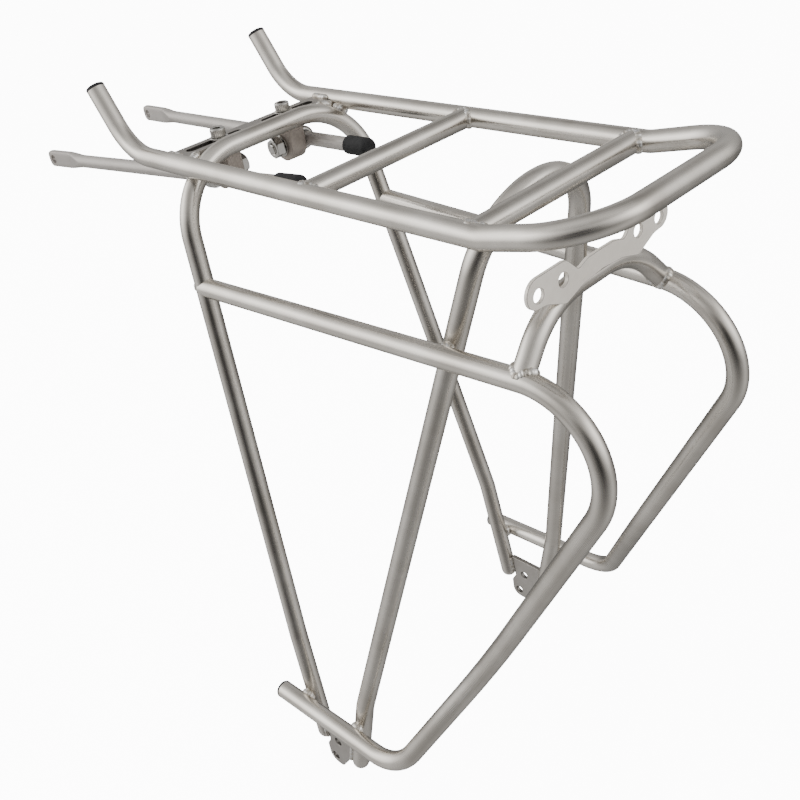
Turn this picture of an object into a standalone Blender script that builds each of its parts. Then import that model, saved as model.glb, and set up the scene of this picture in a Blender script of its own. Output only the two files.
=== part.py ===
"""Bicycle rear rack: a welded frame of bent steel tube with two adjustable stays.

Sizes below are in millimetres from the platform datum: x across the bicycle (right is
positive), y forward along it and z up, measured from the centre of the rear crossbar.
The part's own origin is the midpoint between the two lower dropout eyelets, so at()
moves every point there and turns it into metres.
"""

import math

import bmesh
import bpy
from mathutils import Matrix, Vector

MM = 0.001
DATUM = Vector((0.0, 135.4, -350.0))  # midpoint of the lower dropout eyelets

# Tube
TUBE_R = 5.0
BORE_R = 4.2
GAP = 0.3
STEP = math.radians(9.5)  # one ring of a bend
FOOT_WALL = 2.5  # metal left at a closed, rounded tube end
VENT_R = 1.5

# Platform
RAIL_X = 53.4
HORN_TIP = (256.6, 32.6)  # y, z
HORN_BEND_Y, HORN_BEND_R = 236.6, 30.3
KINK_Y, KINK_R = -6.5, 25.0
LOOP_END, LOOP_R = (-55.5, 10.1), 29.1
MID_BAR_Y = 96.7

# Hoops that make the legs: arch corner, knee and foot, each x, y, z
FRONT_ARCH, FRONT_ARCH_R = (58.1, 190.9, 0.0), 39.5
FRONT_KNEE, FRONT_FOOT = (81.6, 149.9, -265.5), (84.0, 142.6, -339.7)
REAR_ARCH, REAR_ARCH_R = (30.6, 10.5, 0.4), 36.0
REAR_KNEE, REAR_FOOT = (82.2, 98.4, -286.4), (83.6, 115.5, -344.8)
KNEE_R = 30.0

# Pannier rails: from the front leg back, round the rear corner and down to the foot
PANNIER = (
    (63.8, 181.8, -60.3), (44.6, -75.1, -61.2), (61.9, 16.5, -221.1),
    (92.7, 65.5, -301.4), (93.4, 161.2, -306.9),
)
PANNIER_R = (36.4, 250.0, 32.0)

# Light bridge and light plate
BRIDGE_END = (49.2, -13.1, -61.0)
BRIDGE_TOP, BRIDGE_R = (28.1, -11.5, -37.0), 42.0
LIGHT_PLATE_Y, LIGHT_PLATE_T = -17.75, 1.7
LIGHT_HOLE_X, LIGHT_HOLE_Z, LIGHT_HOLE_R = (25.0, 40.0), -26.9, 3.0
LIGHT_EDGE = (  # x, z down one half of the outline, with the corner radius
    (0.0, -24.2, 0.0), (9.0, -24.4, 8.0), (15.3, -26.6, 2.5), (22.5, -19.3, 6.0),
    (46.9, -19.3, 6.8), (46.9, -31.8, 6.2), (36.0, -32.6, 10.0), (24.5, -37.6, 4.0),
    (13.0, -33.9, 12.0), (0.0, -32.9, 0.0),
)

# Slotted plate that carries the stays
SLOT_PLATE_Y, SLOT_PLATE_T = (196.3, 209.7), 3.0
SLOT_PLATE_X = 48.0
SLOT_Y, SLOT_W, SLOT_X = 202.6, 5.6, (7.0, 41.8)

# Dropout plates
DROPOUT_X, DROPOUT_T = 85.0, 3.0
EYELETS, EYELET_R = ((135.4, -350.0), (129.4, -334.3)), 2.7
DROPOUT_EDGE = (  # y, z round the outline, with the corner radius
    (114.9, -322.5, 0.8), (138.8, -322.5, 0.8), (137.2, -337.5, 3.0), (140.9, -343.2, 3.0),
    (140.9, -355.6, 5.8), (130.4, -355.6, 4.8), (120.9, -342.5, 2.0),
)

# Stay clamp, one each side: pivot on the slot's screw, eye bolt across it
SCREW_X = 21.5
SCREW_R, SCREW_HEAD_R, SCREW_HEAD_H = 2.5, 4.0, 4.4
SCREW_BOTTOM = -10.6
WASHER_R, WASHER_T = 5.0, 0.8
EYE_Z = -15.5
BLOCK_X, BLOCK_R, BLOCK_TOP = 5.0, 9.0, -5.7
BOSS_R, BOSS_TOP = 5.4, -1.8
EYE_X, EYE_R, EYE_T, EYE_BORE = 9.05, 6.5, 5.0, 4.15
BOLT_R, BOLT_END = 3.0, -12.4
NUT_ACROSS, NUT_T = 10.0, 5.0
BOLT_WASHER_R, BOLT_WASHER_T = 6.0, 1.2
SIDES = (  # name, side, front turned out, front tipped down, reach of the tip past the eye
    ("left", -1, math.radians(3.1), math.radians(3.4), 169.5),
    ("right", 1, math.radians(2.6), math.radians(2.2), 180.8),
)

# Stay rod
STAY_LENGTH, STAY_R = 237.8, 3.85
PADDLE_L, PADDLE_TAPER, PADDLE_T, PADDLE_H = 24.0, 16.0, 4.0, 10.4
PADDLE_HOLE_R, PADDLE_HOLE_END = 2.7, 6.2
CAP_R, CAP_L, CAP_END = 5.0, 17.5, 2.0


def clear_scene():
    for obj in list(bpy.data.objects):
        bpy.data.objects.remove(obj, do_unlink=True)


def collection(name):
    made = bpy.data.collections.new(name)
    bpy.context.scene.collection.children.link(made)
    return made


def material(name, colour, roughness, metallic):
    made = bpy.data.materials.new(name)
    made.use_nodes = True
    shader = made.node_tree.nodes["Principled BSDF"]
    shader.inputs["Base Color"].default_value = (*colour, 1.0)
    shader.inputs["Roughness"].default_value = roughness
    shader.inputs["Metallic"].default_value = metallic
    made.diffuse_color = (*colour, 1.0)
    return made


LOOKS = {
    "steel": ((0.66, 0.64, 0.61), 0.32, 1.0),
    "plate": ((0.70, 0.68, 0.65), 0.42, 1.0),
    "alloy": ((0.62, 0.61, 0.60), 0.45, 1.0),
    "block": ((0.47, 0.42, 0.38), 0.62, 0.4),
    "bolt": ((0.72, 0.71, 0.69), 0.22, 1.0),
    "rubber": ((0.03, 0.03, 0.03), 0.75, 0.0),
    "plastic": ((0.04, 0.04, 0.04), 0.5, 0.0),
}


def at(x, y, z):
    """A point in the platform's millimetres as a point of the part, in metres."""
    return (Vector((x, y, z)) - DATUM) * MM


def mirrored(half):
    """A symmetric path through the half on the right and its mirror image on the left."""
    return [Vector((-p.x, p.y, p.z)) for p in half] + [p.copy() for p in reversed(half)]


def bent(corners, radii, step=STEP):
    """The centreline through these corners with each one rounded to its radius."""
    path = [corners[0].copy()]
    for before, corner, after, radius in zip(corners, corners[1:], corners[2:], radii):
        back = (before - corner).normalized()
        ahead = (after - corner).normalized()
        turn = math.pi - back.angle(ahead)
        if radius <= 0.0 or turn < 1e-4:
            path.append(corner.copy())
            continue
        centre = corner + (back + ahead).normalized() * radius / math.cos(turn / 2)
        start = corner + back * radius * math.tan(turn / 2) - centre
        end = corner + ahead * radius * math.tan(turn / 2) - centre
        rings = max(2, math.ceil(turn / step))
        for i in range(rings + 1):
            share = turn * i / rings
            spoke = start * math.sin(turn - share) + end * math.sin(share)
            path.append(centre + spoke / math.sin(turn))
    path.append(corners[-1].copy())
    return path


def round_ends(path, radius, rings=4):
    """The same path with its two ends closed by a dome: points, and each one's share of the radius."""
    shares = [1.0] * len(path)
    for end, inner in ((0, 1), (-1, -2)):
        tip = path[end].copy()
        inward = (path[inner] - tip).normalized()
        dome = []
        for i in range(rings + 1):
            angle = math.radians(84.0) * (1 - i / rings)
            dome.append((tip + inward * radius * (1 - math.sin(angle)), math.cos(angle)))
        if end == 0:
            path = [p for p, _ in dome] + path[1:]
            shares = [s for _, s in dome] + shares[1:]
        else:
            path = path[:-1] + [p for p, _ in reversed(dome)]
            shares = shares[:-1] + [s for _, s in reversed(dome)]
    return path, shares


def finish(obj, home, look):
    """Put a mesh object in its collection with its own material, round faces smooth."""
    home.objects.link(obj)
    obj.data.shade_smooth()
    obj.data.set_sharp_from_angle(angle=math.radians(35.0))
    obj.data.materials.append(material(obj.name, *LOOKS[look]))
    return obj


def mesh_of(obj):
    """The curve object as a closed mesh, with its caps welded on."""
    graph = bpy.context.evaluated_depsgraph_get()
    mesh = bpy.data.meshes.new_from_object(obj.evaluated_get(graph))
    bm = bmesh.new()
    bm.from_mesh(mesh)
    bmesh.ops.remove_doubles(bm, verts=bm.verts, dist=1e-6)
    bmesh.ops.recalc_face_normals(bm, faces=bm.faces)
    bm.to_mesh(mesh)
    bm.free()
    made = bpy.data.objects.new(obj.name, mesh)
    made.matrix_world = obj.matrix_world.copy()
    curve = obj.data
    bpy.data.objects.remove(obj, do_unlink=True)
    bpy.data.curves.remove(curve)
    return made


def tube(name, path, radius, resolution, shares=None):
    """A round bar along a path, from a bevelled curve."""
    curve = bpy.data.curves.new(name, "CURVE")
    curve.dimensions = "3D"
    curve.bevel_depth = radius * MM
    curve.bevel_resolution = resolution
    curve.use_fill_caps = True
    spline = curve.splines.new("POLY")
    spline.points.add(len(path) - 1)
    for i, (point, place) in enumerate(zip(spline.points, path)):
        point.co = (*place, 1.0)
        point.radius = shares[i] if shares else 1.0
    obj = bpy.data.objects.new(name, curve)
    bpy.context.scene.collection.objects.link(obj)
    bpy.context.view_layer.update()
    made = mesh_of(obj)
    made.name = name
    return made


def outline_corners(edge, step=math.radians(15.0)):
    """A closed flat outline with each corner rounded to its own radius: x, y pairs."""
    rounded = []
    count = len(edge)
    for i, (x, y, radius) in enumerate(edge):
        corner = Vector((x, y, 0.0))
        before = Vector((*edge[i - 1][:2], 0.0))
        after = Vector((*edge[(i + 1) % count][:2], 0.0))
        rounded += bent([before, corner, after], [radius], step)[1:-1]
    return [(p.x, p.y) for p in rounded]


def circle(x, y, radius, sides):
    turn = 2 * math.pi / sides
    return [(x + radius * math.cos(i * turn), y + radius * math.sin(i * turn)) for i in range(sides)]


def slot(x0, x1, y, width, sides=6):
    """A long hole with round ends, as x, y pairs."""
    radius = width / 2
    ends = []
    for centre, first in ((x1 - radius, -90.0), (x0 + radius, 90.0)):
        for i in range(sides + 1):
            angle = math.radians(first + 180.0 * i / sides)
            ends.append((centre + radius * math.cos(angle), y + radius * math.sin(angle)))
    return ends


def flat_plate(name, outlines, thickness, place):
    """A sheet cut to the first outline with the others as holes, lying in place's XY plane."""
    curve = bpy.data.curves.new(name, "CURVE")
    curve.dimensions = "2D"
    curve.fill_mode = "BOTH"
    curve.extrude = thickness / 2 * MM
    for outline in outlines:
        spline = curve.splines.new("POLY")
        spline.points.add(len(outline) - 1)
        spline.use_cyclic_u = True
        for point, (x, y) in zip(spline.points, outline):
            point.co = (x * MM, y * MM, 0.0, 1.0)
    obj = bpy.data.objects.new(name, curve)
    obj.matrix_world = place
    bpy.context.scene.collection.objects.link(obj)
    bpy.context.view_layer.update()
    made = mesh_of(obj)
    made.name = name
    return made


def cylinder(name, radius, start, end, sides=24):
    """A closed cylinder between two points in metres."""
    axis = end - start
    bm = bmesh.new()
    bmesh.ops.create_cone(
        bm, cap_ends=True, segments=sides, radius1=radius * MM, radius2=radius * MM, depth=axis.length
    )
    turn = Vector((0, 0, 1)).rotation_difference(axis).to_matrix().to_4x4()
    bmesh.ops.transform(bm, matrix=Matrix.Translation((start + end) / 2) @ turn, verts=bm.verts)
    mesh = bpy.data.meshes.new(name)
    bm.to_mesh(mesh)
    bm.free()
    return bpy.data.objects.new(name, mesh)


def boolean(target, other, operation, cutters):
    """Cut or join another mesh object, which then only helps: it isn't rendered."""
    if other.name not in cutters.objects:
        cutters.objects.link(other)
    other.hide_render = True
    other.display_type = "WIRE"
    modifier = target.modifiers.new(operation.title() + " " + other.name, "BOOLEAN")
    modifier.operation = operation
    modifier.solver = "EXACT"
    modifier.object = other
    return target


def cut(target, cutters, *others):
    for other in others:
        boolean(target, other, "DIFFERENCE", cutters)
    return target


def join(target, cutters, *others):
    for other in others:
        boolean(target, other, "UNION", cutters)
    return target


def vent(name, place, along):
    """A small drilled hole through one wall, towards the inside of the frame."""
    start = place + along * BORE_R * 0.4 * MM
    return cylinder(name, VENT_R, start, place + along * (TUBE_R + 3.0) * MM, 10)


def straight_cutter(name, start, end):
    """The space that a crossing tube takes, for coping one tube onto another."""
    reach = (end - start).normalized() * 4.0 * MM
    return cylinder(name, TUBE_R + GAP, start - reach, end + reach, 28)


def make_platform(parts, cutters):
    half = [
        at(RAIL_X, *HORN_TIP),
        at(RAIL_X, HORN_BEND_Y, 0),
        at(RAIL_X, KINK_Y, 0),
        at(RAIL_X, *LOOP_END),
    ]
    radii = [HORN_BEND_R * MM, KINK_R * MM, LOOP_R * MM]
    path = bent(mirrored(half), radii + radii[::-1])
    past = [path[0] * 2 - path[1]] + path[1:-1] + [path[-1] * 2 - path[-2]]
    rail = finish(tube("top_rail", path, TUBE_R, 4), parts, "steel")
    cut(rail, cutters, tube("top_rail_bore", past, BORE_R, 2))
    for name, y in (("mid_crossbar", MID_BAR_Y), ("rear_crossbar", 0.0)):
        ends = [at(-RAIL_X, y, 0), at(RAIL_X, y, 0)]
        bar = finish(tube(name, ends, TUBE_R, 6), parts, "steel")
        cut(bar, cutters, tube(name + "_bore", ends, BORE_R, 3))
        for side in (-1, 1):
            rail_run = (at(side * RAIL_X, y - 20, 0), at(side * RAIL_X, y + 20, 0))
            cut(bar, cutters, straight_cutter(f"{name}_cope_{side}", *rail_run))


def make_hoop(name, foot, knee, arch, arch_r, parts, cutters):
    corners = mirrored([at(*foot), at(*knee), at(*arch)])
    path = bent(corners, [KNEE_R * MM, arch_r * MM, arch_r * MM, KNEE_R * MM])
    domed, shares = round_ends(path, TUBE_R * MM)
    hoop = finish(tube(name, domed, TUBE_R, 4, shares), parts, "steel")
    bore = [p.copy() for p in path]
    for end, inner in ((0, 1), (-1, -2)):
        inward = (bore[inner] - bore[end]).normalized()
        bore[end] = bore[end] + inward * (TUBE_R + FOOT_WALL) * MM
    cut(hoop, cutters, tube(name + "_bore", bore, BORE_R, 2))
    for side, end, inner in ((-1, 0, 1), (1, -1, -2)):
        place = path[end].lerp(path[inner], 0.45)
        cut(hoop, cutters, vent(f"{name}_vent_{side}", place, Vector((-side, 0, 0))))


def make_pannier_rail(name, side, parts, cutters):
    corners = [at(side * x, y, z) for x, y, z in PANNIER]
    path = bent(corners, [r * MM for r in PANNIER_R])
    rail = finish(tube(name, path, TUBE_R, 4), parts, "steel")
    past = path[:-1] + [path[-1] * 2 - path[-2]]
    cut(rail, cutters, tube(name + "_bore", past, BORE_R, 2))
    leg = [at(side * x, y, z) for x, y, z in (FRONT_ARCH, FRONT_KNEE)]
    run = (leg[0].lerp(leg[1], 0.12), leg[0].lerp(leg[1], 0.4))
    cut(rail, cutters, straight_cutter(name + "_cope", *run))
    plug_axis = (path[-1] - path[-2]).normalized()
    plug = "left_foot_plug" if side < 0 else "right_foot_plug"
    make_plug(plug, path[-1], plug_axis, parts)


def make_bridge(parts, cutters):
    corners = mirrored([at(*BRIDGE_END), at(*BRIDGE_TOP)])
    path = bent(corners, [BRIDGE_R * MM, BRIDGE_R * MM])
    bridge = finish(tube("light_bridge", path, TUBE_R, 5), parts, "steel")
    cut(bridge, cutters, tube("light_bridge_bore", path, BORE_R, 3))
    for side in (-1, 1):
        rail = [at(side * x, y, z) for x, y, z in PANNIER[:2]]
        run = (rail[0].lerp(rail[1], 0.6), rail[0].lerp(rail[1], 0.85))
        cut(bridge, cutters, straight_cutter(f"light_bridge_cope_{side}", *run))


def make_plug(name, place, axis, parts):
    """A turned plug: a thin head against the tube's end and a stem in its bore."""
    profile = [(0.0, 1.4), (3.6, 1.4), (4.7, 0.9), (4.9, GAP), (3.4, GAP), (3.4, -6.0), (0.0, -6.0)]
    mesh = bpy.data.meshes.new(name)
    points = [(r * MM, 0.0, h * MM) for r, h in profile]
    mesh.from_pydata(points, [(i, i + 1) for i in range(len(points) - 1)], [])
    plug = bpy.data.objects.new(name, mesh)
    plug.location = place
    plug.rotation_euler = Vector((0, 0, 1)).rotation_difference(axis).to_euler()
    spin = plug.modifiers.new("Turned", "SCREW")
    spin.axis = "Z"
    spin.steps = spin.render_steps = 16
    spin.use_merge_vertices = True
    spin.merge_threshold = 1e-6
    spin.use_smooth_shade = True
    parts.objects.link(plug)
    mesh.materials.append(material(name, *LOOKS["plastic"]))
    return plug


def make_horn_plugs(parts):
    for name, side in (("left_horn_plug", -1), ("right_horn_plug", 1)):
        tip, bend = at(side * RAIL_X, *HORN_TIP), at(side * RAIL_X, HORN_BEND_Y, 0)
        make_plug(name, tip, (tip - bend).normalized(), parts)


def make_light_plate(parts):
    left = [(-x, z, r) for x, z, r in reversed(LIGHT_EDGE[1:-1])]
    outlines = [outline_corners(list(LIGHT_EDGE) + left)]
    for x in LIGHT_HOLE_X:
        for side in (-1, 1):
            outlines.append(circle(side * x, LIGHT_HOLE_Z, LIGHT_HOLE_R, 20))
    upright = Matrix.Rotation(math.radians(90), 4, "X")
    place = Matrix.Translation(at(0, LIGHT_PLATE_Y, 0)) @ upright
    finish(flat_plate("light_plate", outlines, LIGHT_PLATE_T, place), parts, "plate")


def make_slotted_plate(parts):
    near, far = SLOT_PLATE_Y
    corners = [(SLOT_PLATE_X, near), (SLOT_PLATE_X, far), (-SLOT_PLATE_X, far), (-SLOT_PLATE_X, near)]
    outlines = [corners]
    for side in (-1, 1):
        ends = sorted((side * SLOT_X[0], side * SLOT_X[1]))
        outlines.append(slot(ends[0], ends[1], SLOT_Y, SLOT_W))
    place = Matrix.Translation(at(0, 0, 0))
    finish(flat_plate("slotted_plate", outlines, SLOT_PLATE_T, place), parts, "plate")


def make_dropout_plate(name, side, parts):
    outlines = [outline_corners(list(DROPOUT_EDGE))]
    outlines += [circle(y, z, EYELET_R, 20) for y, z in EYELETS]
    # The outline's own x and y are the part's y and z, and its thickness lies across.
    stand = Matrix(((0, 0, 1), (1, 0, 0), (0, 1, 0))).to_4x4()
    place = Matrix.Translation(at(side * DROPOUT_X, 0, 0)) @ stand
    finish(flat_plate(name, outlines, DROPOUT_T, place), parts, "plate")


def local(x, y, z):
    return Vector((x, y, z)) * MM


def under(obj, parent):
    obj.parent = parent
    return obj


def pivot(name, parent, place, turn, parts):
    """An empty on a joint's axis, which the pieces that move with it hang from."""
    empty = bpy.data.objects.new(name, None)
    empty.empty_display_size = 0.01
    empty.parent = parent
    empty.location = place
    empty.rotation_euler = turn
    parts.objects.link(empty)
    return empty


def make_clamp_screw(name, side, parent, parts, cutters):
    """Screw and washer, in the swivel's frame: z = 0 is the slotted plate's mid plane."""
    top = SLOT_PLATE_T / 2 + GAP
    washer = cylinder(name + "_washer", WASHER_R, local(0, 0, top), local(0, 0, top + WASHER_T), 24)
    hole = cylinder(name + "_washer_hole", SCREW_R + GAP, local(0, 0, 0), local(0, 0, 5), 16)
    cut(finish(under(washer, parent), parts, "bolt"), cutters, under(hole, parent))
    seat = top + WASHER_T + GAP
    head = cylinder(name, SCREW_HEAD_R, local(0, 0, seat), local(0, 0, seat + SCREW_HEAD_H), 24)
    shank = cylinder(name + "_shank", SCREW_R, local(0, 0, SCREW_BOTTOM), local(0, 0, seat + 1.5), 16)
    bottom = seat + SCREW_HEAD_H - 2.4
    socket = cylinder(name + "_socket", 2.3, local(0, 0, bottom), local(0, 0, seat + 8), 6)
    finish(under(head, parent), parts, "bolt")
    join(head, cutters, under(shank, parent))
    cut(head, cutters, under(socket, parent))


def make_clamp_block(name, side, parent, parts, cutters):
    """D-shaped block under the plate, with a boss for the screw and a bore for the eye bolt."""
    arc = [math.radians(180.0 + 180.0 * i / 16) for i in range(17)]
    outline = [(BLOCK_R, BLOCK_TOP), (-BLOCK_R, BLOCK_TOP)]
    outline += [(BLOCK_R * math.cos(a), EYE_Z + BLOCK_R * math.sin(a)) for a in arc]
    stand = Matrix(((0, 0, 1), (1, 0, 0), (0, 1, 0))).to_4x4()
    block = flat_plate(name, [outline], 2 * BLOCK_X, stand)
    block.matrix_world = Matrix.Identity(4)
    block.data.transform(stand)
    finish(under(block, parent), parts, "block")
    edge = block.modifiers.new("Edges", "BEVEL")
    edge.width = 0.6 * MM
    edge.segments = 2
    edge.limit_method = "ANGLE"
    edge.angle_limit = math.radians(50)
    boss = cylinder(name + "_boss", BOSS_R, local(0, 0, EYE_Z / 2), local(0, 0, BOSS_TOP), 24)
    join(block, cutters, under(boss, parent))
    tapped = (local(0, 0, SCREW_BOTTOM - GAP), local(0, 0, 5))
    screw_hole = cylinder(name + "_screw_hole", SCREW_R + GAP, *tapped, 16)
    bore = cylinder(name + "_bore", BOLT_R + GAP, local(-9, 0, EYE_Z), local(9, 0, EYE_Z), 20)
    pocket_in = side * (EYE_X - EYE_R - 0.35)
    pocket = cylinder(name + "_pocket", 6.2, local(pocket_in, 0, EYE_Z), local(side * 9, 0, EYE_Z), 24)
    cut(block, cutters, under(screw_hole, parent), under(bore, parent), under(pocket, parent))


def make_eye_bolt(name, side, parent, parts, cutters):
    """Eye bolt with its washer and nut, in the pitch frame: x is the bolt's axis, outboard."""
    centre = side * EYE_X
    half = EYE_T / 2
    eye = cylinder(name, EYE_R, local(centre, -half, 0), local(centre, half, 0), 28)
    finish(under(eye, parent), parts, "bolt")
    shank = cylinder(name + "_shank", BOLT_R, local(side * BOLT_END, 0, 0), local(side * 4.2, 0, 0), 16)
    hole = cylinder(name + "_hole", EYE_BORE, local(centre, -9, 0), local(centre, 9, 0), 24)
    join(eye, cutters, under(shank, parent))
    cut(eye, cutters, under(hole, parent))
    stem = name.replace("_bolt", "")
    outer = -BLOCK_X - GAP
    for part, radius, thick, sides in (
        ("_washer", BOLT_WASHER_R, BOLT_WASHER_T, 24),
        ("_nut", NUT_ACROSS / math.sqrt(3), NUT_T, 6),
    ):
        ends = (local(side * outer, 0, 0), local(side * (outer - thick), 0, 0))
        ring = cylinder(stem + part, radius, *ends, sides)
        through = (local(side * -20, 0, 0), local(0, 0, 0))
        hole = cylinder(stem + part + "_hole", BOLT_R + GAP, *through, 16)
        cut(finish(under(ring, parent), parts, "bolt"), cutters, under(hole, parent))
        outer -= thick + GAP


def flattened(s, reach):
    """Half width across, and half height, of the stay s millimetres in front of the eye."""
    from_tip = reach - s
    share = min(1.0, max(0.0, (PADDLE_L + PADDLE_TAPER - from_tip) / PADDLE_TAPER))
    share = share * share * (3 - 2 * share)
    return (
        STAY_R + (PADDLE_T / 2 - STAY_R) * share,
        STAY_R + (PADDLE_H / 2 - STAY_R) * share,
        share,
    )


def make_stay(name, side, reach, parent, parts, cutters):
    """Round rod along y through the eye, its front end pressed flat and drilled."""
    centre = side * EYE_X
    rear = reach - STAY_LENGTH
    tip = [reach - 3.6 * (1 - math.cos(math.radians(a))) for a in (75.0, 50.0, 25.0)]
    taper = [reach - PADDLE_L - PADDLE_TAPER * (1 - i / 6) for i in range(7)]
    stations = [rear] + taper + tip + [reach]
    sides = 16
    bm = bmesh.new()
    bmesh.ops.create_circle(bm, cap_ends=True, segments=sides, radius=STAY_R * MM)
    upright = Matrix.Rotation(math.radians(90), 4, "X")
    bmesh.ops.transform(bm, matrix=upright, verts=bm.verts)
    bm.faces.ensure_lookup_table()
    last = bm.faces[0]
    rings = [list(last.verts)]
    for _ in stations[1:]:
        out = bmesh.ops.extrude_discrete_faces(bm, faces=[last])["faces"][0]
        last = out
        rings.append(list(last.verts))
    for s, ring in zip(stations, rings):
        across, tall, share = flattened(s, reach)
        end = reach - s
        if end < 3.6:
            tall *= 1 - 0.42 * (1 - math.sin(math.acos(max(0.0, 1 - end / 3.6))))
        for vert in ring:
            angle = math.atan2(vert.co.z, vert.co.x)
            x = STAY_R * math.cos(angle)
            x = max(-across, min(across, x * (1 + 0.35 * share)))
            vert.co = local(centre + x, s, tall * math.sin(angle))
    bmesh.ops.remove_doubles(bm, verts=bm.verts, dist=1e-7)
    bmesh.ops.holes_fill(bm, edges=bm.edges, sides=0)
    bmesh.ops.recalc_face_normals(bm, faces=bm.faces)
    mesh = bpy.data.meshes.new(name)
    bm.to_mesh(mesh)
    bm.free()
    stay = finish(under(bpy.data.objects.new(name, mesh), parent), parts, "alloy")
    y = reach - PADDLE_HOLE_END
    hole = cylinder(name + "_hole", PADDLE_HOLE_R, local(centre - 9, y, 0), local(centre + 9, y, 0), 20)
    cut(stay, cutters, under(hole, parent))
    cap_rear = rear - CAP_END
    cap = cylinder(
        name + "_cap", CAP_R, local(centre, cap_rear, 0), local(centre, cap_rear + CAP_L, 0), 24
    )
    finish(under(cap, parent), parts, "rubber")
    edge = cap.modifiers.new("Edges", "BEVEL")
    edge.width = 1.2 * MM
    edge.segments = 3
    edge.limit_method = "ANGLE"
    socket = cylinder(
        name + "_cap_socket", STAY_R + GAP, local(centre, rear - GAP, 0), local(centre, rear + 40, 0), 20
    )
    cut(cap, cutters, under(socket, parent))


def make_stay_clamps(parts, cutters):
    for name, side, turned_out, tipped_down, reach in SIDES:
        place = at(side * SCREW_X, SLOT_Y, 0)
        swivel = pivot(name + "_swivel", None, place, (0, 0, -side * turned_out), parts)
        tilt = pivot(name + "_tilt", swivel, local(0, 0, EYE_Z), (-tipped_down, 0, 0), parts)
        make_clamp_screw(name + "_clamp_screw", side, swivel, parts, cutters)
        make_clamp_block(name + "_clamp_block", side, swivel, parts, cutters)
        make_eye_bolt(name + "_eye_bolt", side, tilt, parts, cutters)
        make_stay(name + "_stay", side, reach, tilt, parts, cutters)


def main():
    clear_scene()
    parts = collection("bicycle_rear_rack")
    cutters = collection("cutters")
    cutters.hide_render = True
    make_platform(parts, cutters)
    make_hoop("front_hoop", FRONT_FOOT, FRONT_KNEE, FRONT_ARCH, FRONT_ARCH_R, parts, cutters)
    make_hoop("rear_hoop", REAR_FOOT, REAR_KNEE, REAR_ARCH, REAR_ARCH_R, parts, cutters)
    for name, side in (("left", -1), ("right", 1)):
        make_pannier_rail(name + "_pannier_rail", side, parts, cutters)
        make_dropout_plate(name + "_dropout_plate", side, parts)
    make_bridge(parts, cutters)
    make_horn_plugs(parts)
    make_light_plate(parts)
    make_slotted_plate(parts)
    make_stay_clamps(parts, cutters)


main()
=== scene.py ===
"""Looks for the bicycle rear rack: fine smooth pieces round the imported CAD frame.

Sizes are in millimetres from the platform's datum, the centre of the rear crossbar (x across
the bicycle, y forward, z up). at() turns them into the part's own metres.
"""

import math

import bmesh
import bpy
import numpy as np
from mathutils import Matrix, Vector


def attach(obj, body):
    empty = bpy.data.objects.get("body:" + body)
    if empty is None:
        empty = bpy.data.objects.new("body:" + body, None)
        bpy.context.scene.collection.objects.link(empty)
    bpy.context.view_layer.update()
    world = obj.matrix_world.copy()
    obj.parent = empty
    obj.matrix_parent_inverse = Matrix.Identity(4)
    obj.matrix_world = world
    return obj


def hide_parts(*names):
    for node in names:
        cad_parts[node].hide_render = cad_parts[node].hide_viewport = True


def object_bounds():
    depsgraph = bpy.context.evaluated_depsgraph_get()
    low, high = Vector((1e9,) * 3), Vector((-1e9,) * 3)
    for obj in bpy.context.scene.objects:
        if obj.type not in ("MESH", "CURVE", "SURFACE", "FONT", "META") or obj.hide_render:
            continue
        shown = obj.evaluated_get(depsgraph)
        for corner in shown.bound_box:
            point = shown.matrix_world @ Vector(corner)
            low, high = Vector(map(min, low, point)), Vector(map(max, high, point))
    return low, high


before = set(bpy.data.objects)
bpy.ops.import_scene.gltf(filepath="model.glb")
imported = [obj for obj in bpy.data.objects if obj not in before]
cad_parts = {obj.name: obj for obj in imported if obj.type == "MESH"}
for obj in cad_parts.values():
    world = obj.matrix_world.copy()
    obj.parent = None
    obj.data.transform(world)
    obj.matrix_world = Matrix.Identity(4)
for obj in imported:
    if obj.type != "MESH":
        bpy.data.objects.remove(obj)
CAD_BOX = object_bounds()

MM = 0.001
DATUM = Vector((0.0, 135.4, -350.0))

# Tubes
TUBE_R, TUBE_SIDES = 5.0, 40
RAIL_X = 53.4
HORN_TIP = (256.6, 32.6)
HORN_BEND_Y, HORN_BEND_R = 236.6, 30.3
KINK_Y, KINK_R = -6.5, 25.0
LOOP_END, LOOP_R = (-55.5, 10.1), 29.1
MID_BAR_Y = 96.7
FRONT_ARCH, FRONT_ARCH_R = (58.1, 190.9, 0.0), 39.5
FRONT_KNEE, FRONT_FOOT = (81.6, 149.9, -265.5), (84.0, 142.6, -339.7)
REAR_ARCH, REAR_ARCH_R = (30.6, 10.5, 0.4), 36.0
REAR_KNEE, REAR_FOOT = (82.2, 98.4, -286.4), (83.6, 115.5, -344.8)
KNEE_R = 30.0
PANNIER = (
    (63.8, 181.8, -60.3), (44.6, -75.1, -61.2), (61.9, 16.5, -221.1),
    (92.7, 65.5, -301.4), (93.4, 161.2, -306.9),
)
PANNIER_R = (36.4, 250.0, 32.0)
BRIDGE_END = (49.2, -13.1, -61.0)
BRIDGE_TOP, BRIDGE_R = (28.1, -11.5, -37.0), 42.0

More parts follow.
